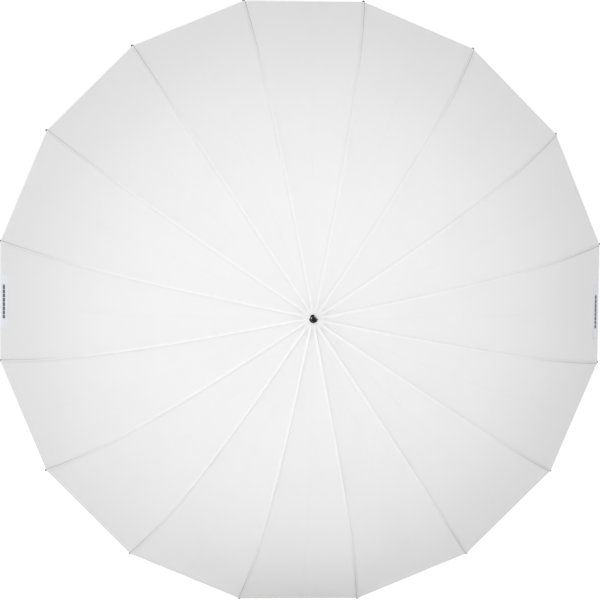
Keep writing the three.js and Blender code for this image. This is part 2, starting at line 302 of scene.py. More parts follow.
def bar_outline(start, end, radius, steps=10):
    """Outline of a bar with round ends between two points of a rib's plane."""
    along = math.atan2(end[1] - start[1], end[0] - start[0])
    outline = []
    for centre, first in ((end, along - math.pi / 2), (start, along + math.pi / 2)):
        for k in range(steps + 1):
            turn = first + math.pi * k / steps
            outline.append((centre[0] + radius * math.cos(turn), centre[1] + radius * math.sin(turn)))
    return outline


def circle_outline(centre, radius, steps=18):
    turns = np.linspace(0, 2 * math.pi, steps, endpoint=False)
    return [(centre[0] + radius * math.cos(t), centre[1] + radius * math.sin(t)) for t in turns]


def flat_plate(outlines, low, high):
    """A plate across a rib's plane from its outline and the outlines of its holes."""
    work = bmesh.new()
    edges = []
    for outline in outlines:
        corners = [work.verts.new((x, y, low)) for x, y in outline]
        edges += [work.edges.new((a, b)) for a, b in zip(corners, corners[1:] + corners[:1])]
    bmesh.ops.triangle_fill(work, use_beauty=True, edges=edges)
    raised = bmesh.ops.extrude_face_region(work, geom=list(work.faces))
    for item in raised["geom"]:
        if isinstance(item, bmesh.types.BMVert):
            item.co.z = high
    work.verts.index_update()
    points = np.array([v.co[:] for v in work.verts])
    faces = [tuple(v.index for v in face.verts) for face in work.faces]
    work.free()
    return points, faces


def bevel_edges(piece, width):
    bevel = piece.modifiers.new("edges", "BEVEL")
    bevel.width = width
    bevel.segments = 2
    bevel.limit_method = "ANGLE"
    bevel.angle_limit = math.radians(40)


def cut_away(piece, cutter_points, cutter_faces):
    """Takes a cutter out of a piece and keeps the result as its mesh."""
    mesh = new_mesh("cutter", cutter_points, cutter_faces)
    shade(mesh, 35)
    cutter = new_object("cutter", mesh)
    boolean = piece.modifiers.new("cut", "BOOLEAN")
    boolean.object = cutter
    boolean.solver = "EXACT"
    made = bpy.data.meshes.new_from_object(piece.evaluated_get(bpy.context.evaluated_depsgraph_get()))
    piece.modifiers.clear()
    piece.data = made
    smooth_faces(made)
    made.set_sharp_from_angle(angle=math.radians(35))
    bpy.data.objects.remove(cutter)


def block(x, y, z):
    """A box from its (low, high) extents, as points and faces."""
    points = [(a, b, c) for a in x for b in y for c in z]
    faces = [(0, 1, 3, 2), (4, 6, 7, 5), (0, 4, 5, 1), (2, 3, 7, 6), (0, 2, 6, 4), (1, 5, 7, 3)]
    return np.array(points), faces


# ------------------------------------------------------------------ materials
class Nodes:
    """A short way to write a node tree."""

    def __init__(self, tree):
        self.tree = tree

    def node(self, kind, inputs=None, **settings):
        made = self.tree.nodes.new(kind)
        for key, value in settings.items():
            setattr(made, key, value)
        for key, value in (inputs or {}).items():
            self.feed(made.inputs[key], value)
        return made

    def feed(self, socket, value):
        if isinstance(value, bpy.types.NodeSocket):
            self.tree.links.new(value, socket)
        else:
            socket.default_value = value

    def math(self, operation, a, b=0.0, c=0.0):
        return self.node("ShaderNodeMath", {0: a, 1: b, 2: c}, operation=operation).outputs[0]

    def step(self, value, low, high):
        """0 to 1 as value goes from low to high."""
        made = self.node("ShaderNodeMapRange", {"Value": value, "From Min": low, "From Max": high},
                         interpolation_type="SMOOTHSTEP")
        return made.outputs["Result"]


class Shader(Nodes):
    """A node material."""

    def __init__(self, name):
        self.material = bpy.data.materials.new(name)
        self.material.use_nodes = True
        super().__init__(self.material.node_tree)
        self.tree.nodes.clear()
        self.output = self.node("ShaderNodeOutputMaterial")

    def band(self, value, low, high, soft):
        """1 where value is between low and high, with soft edges."""
        rise = self.step(value, low - soft, low + soft)
        fall = self.step(value, high - soft, high + soft)
        return self.math("SUBTRACT", rise, fall)

    def mix_colour(self, share, first, second):
        return self.node("ShaderNodeMix", {0: share, 6: first, 7: second}, data_type="RGBA").outputs[2]

    def noise(self, scale, detail=3.0, vector=None, roughness=0.5):
        made = self.node("ShaderNodeTexNoise", {"Scale": scale, "Detail": detail, "Roughness": roughness})
        source = vector or self.node("ShaderNodeTexCoord").outputs["Object"]
        self.feed(made.inputs["Vector"], source)
        return made.outputs["Fac"]

    def bump(self, height, distance, strength=1.0):
        made = self.node("ShaderNodeBump", {"Height": height, "Distance": distance, "Strength": strength})
        return made.outputs["Normal"]

    def principled(self, **inputs):
        inputs = {key.replace("_", " "): value for key, value in inputs.items()}
        return self.node("ShaderNodeBsdfPrincipled", inputs).outputs["BSDF"]

    def finish(self, surface):
        self.feed(self.output.inputs["Surface"], surface)
        return self.material


def grey(value):
    return (value, value, value, 1.0)


def fabric():
    """White nylon that lets light through, with its weave, sewn seams, stitching and hem. Painted shade: a
    dark shadow line beside each seam towards the hem, and the double-layer whitening faded out towards the
    hem.
    """
    s = Shader("white_nylon")
    uv = s.node("ShaderNodeTexCoord").outputs["UV"]
    parts = s.node("ShaderNodeSeparateXYZ", {"Vector": uv})
    side, along = parts.outputs["X"], parts.outputs["Y"]
    thread_pitch = 0.45 * MM
    warp = s.math("SINE", s.math("MULTIPLY", side, 2 * math.pi / thread_pitch))
    weft = s.math("SINE", s.math("MULTIPLY", along, 2 * math.pi / thread_pitch))
    weave = s.math("MULTIPLY", warp, weft)
    slub = s.noise(900.0, 2.0)
    cloudy = s.noise(7.0, 4.0)

    from_hem = s.math("SUBTRACT", HEM_AT, along)
    seam = s.band(side, -SEAM_WIDTH, 0.2 * MM, 0.3 * MM)
    hem = s.step(from_hem, HEM_WIDTH + 0.4 * MM, HEM_WIDTH - 0.4 * MM)
    patch = s.step(along, CROWN_PATCH + 1 * MM, CROWN_PATCH - 1 * MM)
    layered = s.math("MAXIMUM", s.math("MAXIMUM", seam, hem), patch)
    # painted shade: from mid-canopy to the hem the double layers' whitening is faded out, so seams and hem
    # look darker there
    painted_fade_to_hem = s.step(along, 0.45 * RIB_LENGTH, 0.8 * RIB_LENGTH)

    stitch_pitch, stitch_width = 2.8 * MM, 0.35 * MM
    dashes = s.step(s.math("FRACT", s.math("DIVIDE", along, stitch_pitch)), 0.28, 0.36)
    cross_dashes = s.step(s.math("FRACT", s.math("DIVIDE", side, stitch_pitch)), 0.28, 0.36)
    outer_row = s.band(side, 0.7 * MM - SEAM_WIDTH, 0.7 * MM - SEAM_WIDTH + stitch_width, 0.1 * MM)
    rib_row = s.band(side, -1.0 * MM, -1.0 * MM + stitch_width, 0.1 * MM)
    hem_row = s.band(from_hem, HEM_WIDTH - 1.6 * MM, HEM_WIDTH - 1.6 * MM + stitch_width, 0.1 * MM)
    rows = s.math("MULTIPLY", s.math("MAXIMUM", outer_row, rib_row), dashes)
    stitches = s.math("MAXIMUM", rows, s.math("MULTIPLY", hem_row, cross_dashes))
    # painted shadow: a dark line beside each seam, growing from mid-canopy to the tip
    seam_shadow_band = s.band(side, -2.9 * MM, -1.3 * MM, 0.5 * MM)
    shadow_line = s.math("MULTIPLY", seam_shadow_band, s.step(along, 0.5 * RIB_LENGTH, 1.02 * RIB_LENGTH))
    hem_edge = s.band(from_hem, HEM_WIDTH - 0.4 * MM, HEM_WIDTH + 0.4 * MM, 0.3 * MM)

    tint = s.mix_colour(cloudy, grey(0.875), grey(0.91))
    doubled_with_painted_shade = s.math("MULTIPLY", layered, s.math("SUBTRACT", 1.0, s.math("MULTIPLY", painted_fade_to_hem, 0.85)))
    tint = s.mix_colour(doubled_with_painted_shade, tint, grey(0.93))
    # the painted shadow line, mixed in as dark grey
    tint = s.mix_colour(s.math("MULTIPLY", shadow_line, 0.8), tint, grey(0.42))
    tint = s.mix_colour(s.math("MULTIPLY", hem_edge, 0.25), tint, grey(0.6))
    tint = s.mix_colour(s.math("MULTIPLY", stitches, 0.25), tint, grey(0.72))

    fine = s.math("ADD", s.math("MULTIPLY", weave, 0.5), s.math("MULTIPLY", slub, 0.5))
    height = s.math("ADD", s.math("MULTIPLY", fine, 0.03 * MM), s.math("MULTIPLY", stitches, 0.2 * MM))
    normal = s.bump(height, 1.0, 0.6)
    face = s.principled(
        Base_Color=tint, Roughness=0.62, Sheen_Weight=0.15, Specular_IOR_Level=0.3, Normal=normal
    )
    through = s.node("ShaderNodeBsdfTranslucent", {"Color": grey(0.95), "Normal": normal})
    share = s.math("SUBTRACT", 0.42, s.math("MULTIPLY", layered, 0.3))
    mixed = s.node("ShaderNodeMixShader", {0: share, 1: face, 2: through.outputs["BSDF"]})
    return s.finish(mixed.outputs["Shader"])


def label_ribbon():
    """Pale satin ribbon with a sewn border and a plain dark mark of short dashes."""
    s = Shader("label_ribbon")
    uv = s.node("ShaderNodeTexCoord").outputs["UV"]
    parts = s.node("ShaderNodeSeparateXYZ", {"Vector": uv})
    place, high = parts.outputs["X"], parts.outputs["Y"]
    long = s.math("ABSOLUTE", place)
    ribs = s.math("SINE", s.math("MULTIPLY", high, 2 * math.pi / (0.5 * MM)))
    mark_height = s.band(high, -5.5 * MM, 5.5 * MM, 0.2 * MM)
    mark_length = s.band(place, -35 * MM, 37 * MM, 0.2 * MM)
    dash_pitch = 9 * MM
    dash = s.step(s.math("FRACT", s.math("DIVIDE", s.math("ADD", place, 0.1), dash_pitch)), 0.1, 0.13)
    mark = s.math("MULTIPLY", s.math("MULTIPLY", mark_height, mark_length), dash)
    border = s.band(long, LABEL_LENGTH / 2 - 3 * MM, LABEL_LENGTH / 2 - 2.4 * MM, 0.1 * MM)
    tint = s.mix_colour(s.noise(40.0), (0.80, 0.82, 0.90, 1), (0.86, 0.87, 0.94, 1))
    tint = s.mix_colour(s.math("MULTIPLY", border, 0.4), tint, (0.5, 0.52, 0.6, 1))
    tint = s.mix_colour(mark, tint, (0.03, 0.035, 0.06, 1))
    normal = s.bump(s.math("MULTIPLY", ribs, 0.04 * MM), 1.0, 0.5)
    return s.finish(s.principled(Base_Color=tint, Roughness=0.45, Sheen_Weight=0.3, Normal=normal))


def metal(name, colour, roughness, scratch_scale, scratch_depth):
    """Plated or polished metal with fine drawn lines and slight smudging."""
    s = Shader(name)
    place = s.node("ShaderNodeTexCoord").outputs["Object"]
    stretched = s.node("ShaderNodeMapping", {"Vector": place, "Scale": (scratch_scale, 12.0, scratch_scale)})
    lines = s.noise(1.0, 4.0, stretched.outputs["Vector"])
    smudge = s.noise(60.0, 3.0)
    rough = s.math("ADD", roughness, s.math("MULTIPLY", smudge, 0.12))
    tint = s.mix_colour(lines, grey(colour * 0.9), grey(colour))
    normal = s.bump(s.math("MULTIPLY", lines, scratch_depth), 1.0, 0.5)
    return s.finish(s.principled(Base_Color=tint, Metallic=1.0, Roughness=rough, Normal=normal))


def moulded_plastic(name, colour):
    """Black moulded plastic with a fine spark grain and worn, lighter patches."""
    s = Shader(name)
    grain = s.noise(1800.0, 2.0)
    worn = s.step(s.noise(90.0, 5.0, roughness=0.7), 0.56, 0.72)
    tint = s.mix_colour(s.math("MULTIPLY", worn, 0.2), colour, (0.06, 0.06, 0.063, 1))
    rough = s.math("ADD", 0.38, s.math("MULTIPLY", worn, 0.2))
    normal = s.bump(s.math("MULTIPLY", grain, 0.05 * MM), 1.0, 0.6)
    return s.finish(s.principled(Base_Color=tint, Roughness=rough, Normal=normal))


def drawn_rod():
    """White fibreglass, with glass fibres running along it under a clear skin."""
    s = Shader("white_fibreglass")
    place = s.node("ShaderNodeTexCoord").outputs["UV"]
    stretched = s.node("ShaderNodeMapping", {"Vector": place, "Scale": (9.0, 30.0, 1.0)})
    fibres = s.noise(6.0, 4.0, stretched.outputs["Vector"])
    tint = s.mix_colour(fibres, (0.70, 0.71, 0.70, 1), (0.86, 0.865, 0.85, 1))
    normal = s.bump(s.math("MULTIPLY", fibres, 0.04 * MM), 1.0, 0.5)
    return s.finish(s.principled(Base_Color=tint, Roughness=0.33, Coat_Weight=0.4, Normal=normal))


def lacquered_steel():
    """Black lacquer over steel, rubbed to bare metal in small patches."""
    s = Shader("black_lacquer")
    rubbed = s.step(s.noise(220.0, 6.0, roughness=0.75), 0.66, 0.74)
    tint = s.mix_colour(rubbed, (0.022, 0.022, 0.025, 1), (0.35, 0.35, 0.36, 1))
    peel = s.noise(700.0, 2.0)
    normal = s.bump(s.math("MULTIPLY", peel, 0.03 * MM), 1.0, 0.5)
    rough = s.math("ADD", 0.28, s.math("MULTIPLY", rubbed, 0.2))
    return s.finish(s.principled(Base_Color=tint, Metallic=rubbed, Roughness=rough, Normal=normal))


def floor_paint():
    """A pale studio floor: near white where the camera sees it, and dark where metal reflects it."""
    s = Shader("studio_floor")
    path = s.node("ShaderNodeLightPath").outputs
    tone = s.mix_colour(s.noise(0.6, 2.0), grey(0.80), grey(0.82))
    tone = s.mix_colour(path["Is Glossy Ray"], tone, grey(0.05))
    matt = s.node("ShaderNodeBsdfDiffuse", {"Color": tone})
    unlit = s.math("SUBTRACT", 1.0, path["Is Glossy Ray"])
    strength = s.math("MULTIPLY", unlit, s.math("ADD", 0.15, s.math("MULTIPLY", path["Is Camera Ray"], 0.3)))
    glow = s.node("ShaderNodeEmission", {"Color": grey(1.0), "Strength": strength})
    both = s.node("ShaderNodeAddShader", {0: matt.outputs["BSDF"], 1: glow.outputs["Emission"]})
    return s.finish(both.outputs["Shader"])


FABRIC = fabric()
RIBBON = label_ribbon()
SHAFT_STEEL = metal("drawn_steel", 0.62, 0.22, 900.0, 0.02 * MM)
WIRE_STEEL = metal("wire_steel", 0.55, 0.3, 600.0, 0.03 * MM)
CHROME = metal("polished_chrome", 0.8, 0.05, 300.0, 0.004 * MM)
PLASTIC = moulded_plastic("black_plastic", (0.007, 0.007, 0.008, 1))
TIP_PLASTIC = moulded_plastic("tip_plastic", (0.012, 0.012, 0.014, 1))
ROD = drawn_rod()
LACQUER = lacquered_steel()
THREAD = moulded_plastic("thread", (0.75, 0.75, 0.76, 1))


# ------------------------------------------------------------------ canopy
WRINKLES = [
    {
        "length": RANDOM.uniform(9, 34, 6) * MM,
        "phase": RANDOM.uniform(0, 2 * math.pi, (6, 3)),
        "height": RANDOM.uniform(0.4, 1.0, 6),
    }
    for _ in range(RIBS)
]


def wrinkle(gore, along, across):
    """Faint tension wrinkles that run parallel to the hem. across is -1 and 1 at the two ribs."""
    kind = WRINKLES[gore % RIBS]
    bowed = along - 14 * MM * across**2
    total = 0
    for length, (shift, drift, sway), height in zip(kind["length"], kind["phase"], kind["height"]):
        swell = 0.55 + 0.45 * np.sin(along / (7 * length) + drift + 2.2 * across * math.sin(sway))
        total = total + height * swell * length * np.sin(2 * math.pi * bowed / length + shift + 0.8 * across)
    outer = smooth(along, 0.18 * RIB_LENGTH, 0.5 * RIB_LENGTH) * smooth(HEM_AT - along, 0, 20 * MM)
    return 0.0022 * total * outer * (1 - across**2)


def sheet_surface(index, along, side):
    """Points of the canopy near a rib, in its plane, and half the width of a gore there.

    side runs from the rib to the middle of a gore.
    """
    radius, place, slope = rib_line(along)
    crown_lift = CROWN_LIFT * (1 - smooth(along, 0, CROWN_REACH))
    radius = radius + np.sin(slope) * (SHEET_LIFT + crown_lift)
    place = place - np.cos(slope) * (SHEET_LIFT + crown_lift)
    half_width = radius * math.sin(HALF_PITCH)
    share = side / half_width
    mid = np.abs(share)
    x = radius - mid * half_width * math.sin(HALF_PITCH)
    z = share * half_width * math.cos(HALF_PITCH)
    turn = np.arctan2(z, x)

    across = np.where(share >= 0, mid - 1, 1 - mid)
    reach = along / HEM_AT
    sag = SAG * 4 * np.clip(reach, 0, 1) * (1 - np.clip(reach, 0, 1)) * (1 - (1 - mid) ** 2)
    ridge = 0.3 * MM * np.exp(-((side / (2.2 * MM)) ** 2))
    gather = 0.4 * MM * np.exp(-((along / (20 * MM)) ** 2)) * np.cos(4 * math.pi * share)
    waves = np.where(share >= 0, wrinkle(index, along, across), wrinkle(index - 1, along, across))
    height = ridge + gather + waves - sag
    x = x + height * np.sin(slope) * np.cos(turn)
    z = z + height * np.sin(slope) * np.sin(turn)
    return np.stack([x, place - height * np.cos(slope), z], axis=-1), half_width


SEAM_COLUMNS = np.array([0, 0.7, 1.4, 2.4, 3.8, 4.4, 5.4]) * MM
FIELD_COLUMNS = 12
CROWN_WIDTH = 16 * MM


def column_sides(half_width):
    """Distances from the rib of the columns of one half of a section."""
    seam = SEAM_COLUMNS * min(1.0, half_width / CROWN_WIDTH)
    field = seam[-1] + (half_width - seam[-1]) * np.linspace(0, 1, FIELD_COLUMNS + 1)[1:]
    return np.concatenate([seam, field])


def sheet_attributes(mesh, index, points, along, share, half_width):
    """What the folding needs to know of each point at rest."""
    grip = smooth(along, 2 * MM, 40 * MM)
    seam_points, _ = sheet_surface(index, along, np.zeros_like(along))
    from_seam = (points - seam_points) * (1, 1, 0)
    from_bend = np.hypot(along - FLEX_AT - 12 * MM, 12 * MM) - 12 * MM
    span = SPAN_LIFT * np.exp(-from_bend / SPAN_REACH)
    values = {"across": share, "half_width": half_width, "rest_radius": points[:, 0]}
    values |= {"grip": grip, "span": span}
    for name, data in values.items():
        attribute = mesh.attributes.new(name, "FLOAT", "POINT")
        attribute.data.foreach_set("value", np.asarray(data, np.float32))
    for name, data in (("rest_place", turn_to_spoke(points, index)), ("from_seam", from_seam)):
        attribute = mesh.attributes.new(name, "FLOAT_VECTOR", "POINT")
        attribute.data.foreach_set("vector", data.astype(np.float32).ravel())


def set_uv(mesh, coordinates):
    layer = mesh.uv_layers.new(name="UVMap")
    corners = np.zeros(len(mesh.loops), np.int32)
    mesh.loops.foreach_get("vertex_index", corners)
    layer.data.foreach_set("uv", np.asarray(coordinates, np.float32)[corners].ravel())


def thickness_group(piece, thin_share, thick):
    group = piece.vertex_groups.new(name="layers")
    for vertex, is_thick in enumerate(thick):
        group.add([vertex], 1.0 if is_thick else thin_share, "REPLACE")


def grid_faces(rows, columns):
    return [
        (r * columns + c, r * columns + c + 1, (r + 1) * columns + c + 1, (r + 1) * columns + c)
        for r in range(rows - 1)
        for c in range(columns - 1)
    ]


def sheet_piece(name, index, rows_along, rows_side, uv, material):
    """A grid on the canopy's surface as a piece that follows one rib."""
    rows, columns = rows_side.shape
    along = np.repeat(rows_along, columns)
    side = rows_side.ravel()
    points, half_width = sheet_surface(index, along, side)
    mesh = new_mesh(name, turn_to_spoke(points, index), grid_faces(rows, columns))
    smooth_faces(mesh)
    mesh.flip_normals()
    set_uv(mesh, uv)
    sheet_attributes(mesh, index, points, along, side / half_width, half_width)
    mesh.materials.append(material)
    piece = new_object(name, mesh)
    bend_with_rib(piece, index)
    return piece


def bend_with_rib(piece, index):
    """A piece follows its rib, which straightens over a stretch that starts just beyond its clip."""
    path = rib_path(np.array([FLEX_AT - 2 * MM, FLEX_AT + FLEX_REACH]))
    start, end = (tuple(point) for point in turn_to_spoke(np.insert(path, 2, 0, axis=1), index))
    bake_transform(piece, f"rib_inner_{number(index)}", f"rib_outer_{number(index)}", start=start, end=end)


def canopy_section(index):
    """The fabric from the middle of one gore to the middle of the next, with a rib under its seam."""
    first = SHEET_START - PIVOT[0]
    plain = np.linspace(first, HEM_AT - HEM_WIDTH - 1 * MM, 150)
    rows_along = np.concatenate([plain, HEM_AT - np.array([HEM_WIDTH, 0.5 * HEM_WIDTH, 0.4 * MM, 0])])
    radius, _, slope = rib_line(rows_along)
    crown_lift = CROWN_LIFT * (1 - smooth(rows_along, 0, CROWN_REACH)) * np.sin(slope)
    half_widths = (radius + np.sin(slope) * SHEET_LIFT + crown_lift) * math.sin(HALF_PITCH)
    right = np.array([column_sides(w) for w in half_widths])
    rows_side = np.concatenate([-right[:, :0:-1], right], axis=1)
    along = np.repeat(rows_along, rows_side.shape[1])
    side = rows_side.ravel()
    uv = np.stack([side, along], axis=1)
    name = f"canopy_section_{number(index)}"
    piece = sheet_piece(name, index, rows_along, rows_side, uv, FABRIC)
    in_seam = (side > -SEAM_WIDTH) & (side < 1.6 * MM)
    in_hem = along > HEM_AT - HEM_WIDTH - 0.1 * MM
    thickness_group(piece, THIN / THICK, in_seam | in_hem)
    fold(piece, index)
    solidify(piece, THICK, 0.0, "layers")
    return piece


def solidify(piece, thickness, offset, group=None):
    made = piece.modifiers.new("thickness", "SOLIDIFY")
    made.thickness = thickness
    made.offset = offset
    made.use_even_offset = False
    if group:
        made.vertex_group = group
        made.thickness_vertex_group = 0.0
    normals = piece.modifiers.new("normals", "WEIGHTED_NORMAL")
    normals.weight = 100


def label_part(name, index, direction, length, upwards):
    """The part of a label on one side of the middle of its gore, sewn on just above the hem."""
    rows_along = HEM_AT - LABEL_EDGE - np.linspace(LABEL_HEIGHT, 0, 9)
    columns = np.linspace(0, length, 17)
    radius, _, slope = rib_line(rows_along)
    half_widths = ((radius + np.sin(slope) * SHEET_LIFT) * math.sin(HALF_PITCH))[:, None]
    rows_side = half_widths - columns[::-1] if direction > 0 else columns - half_widths
    from_middle = np.abs(half_widths - np.abs(rows_side))
    height = np.repeat(rows_along - HEM_AT + LABEL_EDGE + LABEL_HEIGHT / 2, len(columns))
    from_label_middle = upwards * (from_middle.ravel() - (length - LABEL_LENGTH / 2))
    uv = np.stack([from_label_middle, height], axis=1)
    piece = sheet_piece(name, index, rows_along, rows_side, uv, RIBBON)
    fold(piece, index)
    solidify(piece, 0.7 * MM, 1.0)
    return piece


# ------------------------------------------------------------------ how the fabric folds
def folding_tree():
    """Gathers the fabric between two ribs as they close, and wraps it round the closed ribs.

    The runner's travel says how far the canopy is closed. At rest nothing moves.
    """
    tree = bpy.data.node_groups.new("fold_fabric", "GeometryNodeTree")
    tree.interface.new_socket("Geometry", in_out="INPUT", socket_type="NodeSocketGeometry")
    tree.interface.new_socket("Azimuth", in_out="INPUT", socket_type="NodeSocketFloat")
    tree.interface.new_socket("Geometry", in_out="OUTPUT", socket_type="NodeSocketGeometry")

    build = Nodes(tree)
    node, op, rise = build.node, build.math, build.step

    def mix(share, a, b):
        return op("ADD", a, op("MULTIPLY", share, op("SUBTRACT", b, a)))

    def named(name, data_type="FLOAT"):
        made = node("GeometryNodeInputNamedAttribute", {"Name": name}, data_type=data_type)
        return made.outputs["Attribute"]

    def turned_by(vector, angle):
        made = node("ShaderNodeVectorRotate", {"Vector": vector, "Angle": angle}, rotation_type="Y_AXIS")
        return made.outputs["Vector"]

    def split(vector):
        return node("ShaderNodeSeparateXYZ", {"Vector": vector}).outputs

    start = node("NodeGroupInput")
    runner = node("GeometryNodeObjectInfo", {"Object": frame["bodies"]["runner"]})
    closed = op("DIVIDE", split(runner.outputs["Location"])[1], RUNNER_TRAVEL)

    grip = named("grip")
    share = named("across")
    mid = op("ABSOLUTE", share)
    width = named("half_width")
    azimuth = start.outputs["Azimuth"]
    here = split(turned_by(node("GeometryNodeInputPosition").outputs["Position"], azimuth))
    rest = split(turned_by(named("rest_place", "FLOAT_VECTOR"), azimuth))
    radius = mix(grip, rest[0], here[0])
    place = mix(grip, rest[1], here[1])

    # Gathered: the slack hangs out of the way while the ribs draw together.
    shrink = op("DIVIDE", radius, named("rest_radius"))
    slack = op("SQRT", op("MAXIMUM", op("SUBTRACT", 1.0, op("MULTIPLY", shrink, shrink)), 0.0))
    pleat = op("MULTIPLY", op("MULTIPLY", width, mid), op("MULTIPLY", slack, grip))
    gathered_x = op("ADD", radius, pleat)
    gathered_z = op("MULTIPLY", rest[2], shrink)

    # Wrapped: each point lies on a spiral that starts from its rib's seam.
    open_cosine, closed_cosine = math.cos(OPEN_ANGLE), math.cos(OPEN_ANGLE - FOLD)
    cosine = op("ADD", open_cosine, op("MULTIPLY", closed, closed_cosine - open_cosine))
    swung = op("SUBTRACT", OPEN_ANGLE, op("ARCCOSINE", cosine))
    tilt = op("MULTIPLY", swung, op("ADD", 1.0, op("MULTIPLY", named("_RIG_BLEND"), FLEX_SHARE)))
    offset = split(named("from_seam", "FLOAT_VECTOR"))
    outwards = op("MULTIPLY", offset[0], op("COSINE", tilt))
    inwards = op("MULTIPLY", offset[1], op("SINE", tilt))
    seam_radius = op("ADD", op("SUBTRACT", here[0], outwards), op("ADD", inwards, named("span")))

    grown = op("ADD", op("MULTIPLY", seam_radius, seam_radius), op("MULTIPLY", width, 2 * WRAP_RISE))
    full_turn = op("DIVIDE", op("SUBTRACT", op("SQRT", grown), seam_radius), WRAP_RISE)
    side = op("SIGN", share)
    turn = op("MULTIPLY", mid, op("ADD", full_turn, op("MULTIPLY", side, HALF_PITCH)))
    underneath = op("LESS_THAN", share, 0.0)
    apart = op("ADD", rise(mid, 0.0, 0.06), rise(mid, 0.9, 1.0))
    lifted = op("MULTIPLY", op("MULTIPLY", apart, underneath), WRAP_RISE * HALF_PITCH)
    wrap_radius = op("ADD", seam_radius, op("ADD", op("MULTIPLY", turn, WRAP_RISE), lifted))
    wrapped_x = op("MULTIPLY", wrap_radius, op("COSINE", turn))
    wrapped_z = op("MULTIPLY", wrap_radius, op("SINE", turn))

    # The wrapping sets in over the last part of the runner's travel.
    wrapping = op("MULTIPLY", rise(closed, 0.55, 1.0), grip)
    folded_x = mix(wrapping, gathered_x, wrapped_x)
    folded_z = mix(wrapping, gathered_z, wrapped_z)
    folded = node("ShaderNodeCombineXYZ", {"X": folded_x, "Y": place, "Z": folded_z})
    back = turned_by(folded.outputs["Vector"], op("MULTIPLY", azimuth, -1.0))

    moved = node("GeometryNodeSetPosition", {"Geometry": start.outputs["Geometry"], "Position": back})
    node("NodeGroupOutput", {"Geometry": moved.outputs["Geometry"]})
    return tree


FOLDING = folding_tree()


def fold(piece, index):
    made = piece.modifiers.new("fold", "NODES")
    made.node_group = FOLDING
    azimuth = next(i for i in FOLDING.interface.items_tree if i.name == "Azimuth")
    made[azimuth.identifier] = spoke_angle(index)


# ------------------------------------------------------------------ ribs
ROD_ROWS = 90


def rib_rod(index):
    """One continuous fibreglass rod, which straightens beyond its clip as it closes."""
    along = np.linspace(ROD_START, RIB_LENGTH - 2 * MM, ROD_ROWS)
    piece = spoke_piece("rib_rod", index, swept(rib_path(along), ROD_RADIUS), ROD)
    sides = len(piece.data.vertices) // ROD_ROWS
    ring = np.tile(np.arange(sides) / sides, ROD_ROWS)
    set_uv(piece.data, np.stack([ring, np.repeat(along, sides)], axis=1))
    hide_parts(f"rib_inner_{number(index)}", f"rib_outer_{number(index)}")
    bend_with_rib(piece, index)


def rib_tip(index):
    """Cap on the rib's end with a collar that the hem's corner is tied to."""
    profile = [(-8, 1.8), (-7.6, 2.3), (-4.6, 2.3), (-4.2, 1.9), (-3.7, 1.9), (-3.3, 2.6)]
    profile += [(-2.6, 2.8), (-1.3, 2.8), (-0.5, 2.3), (-0.1, 1.4), (0, 0.5)]
    steps = np.array([p[0] for p in profile]) * MM
    radii = np.array([p[1] for p in profile]) * MM
    shape = swept(rib_path(RIB_LENGTH + steps), radii, 16)
    piece = spoke_piece("rib_tip", index, shape, TIP_PLASTIC, 50)
    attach(piece, f"rib_outer_{number(index)}")


def rib_tongue(index):
    """Flat steel tongue crimped on the rod, with the eye that the crown's ring wire passes through."""
    root_radius, root_place, _ = rib_line(14 * MM)
    outline = bar_outline(PIVOT, (float(root_radius), float(root_place)), 2.2 * MM)
    plate = flat_plate([outline, circle_outline(PIVOT, EYE_RADIUS)], -PLATE_HALF, PLATE_HALF)
    crimp_radii = np.array([1.75, 2.0, 2.0, 1.8, 2.0, 1.75]) * MM
    crimp = swept(rib_path(np.linspace(6.5 * MM, 20 * MM, 6)), crimp_radii, 16)
    piece = spoke_piece("rib_tongue", index, joined(plate, crimp), WIRE_STEEL)
    bevel_edges(piece, 0.15 * MM)
    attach(piece, f"rib_inner_{number(index)}")


def rib_clip(index):
    """Folded clip: a sleeve round the rod and two ears that hold the stretcher's pin."""
    clip_at = FLEX_AT - CLIP_SETBACK
    root = tuple(float(v) for v in beside_rib(clip_at, 1.2 * MM))
    outline = bar_outline(root, PIN, 1.9 * MM)
    ears = [flat_plate([outline], low * MM, high * MM) for low, high in ((-2.3, -1.3), (1.3, 2.3))]
    sleeve_radii = np.array([1.7, 2.15, 2.3, 2.3, 2.3, 2.15, 1.7]) * MM
    sleeve = swept(rib_path(np.linspace(clip_at - 6.5 * MM, clip_at + 6.5 * MM, 7)), sleeve_radii, 20)
    pin = across_rod(PIN, PIN_RADIUS, 2.4 * MM, 0.3 * MM)
    heads = []
    for shift in (-2.5 * MM, 2.5 * MM):
        head_points, head_faces = across_rod(PIN, 1.4 * MM, 0.3 * MM, 0.2 * MM)
        heads.append((head_points + (0, 0, shift), head_faces))
    piece = spoke_piece("rib_clip", index, joined(*ears, sleeve, pin, *heads), WIRE_STEEL)
    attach(piece, f"rib_inner_{number(index)}")


def rib_threads(index):
    """Loops of thread that tie the seam to the rod."""
    loops = []
    for along in np.array([0.16, 0.3, 0.62, 0.76, 0.89]) * RIB_LENGTH:
        for shift in (-0.45 * MM, 0.45 * MM):
            loops.append(thread_loop(along + shift))
    bend_with_rib(spoke_piece("rib_threads", index, joined(*loops), THREAD), index)


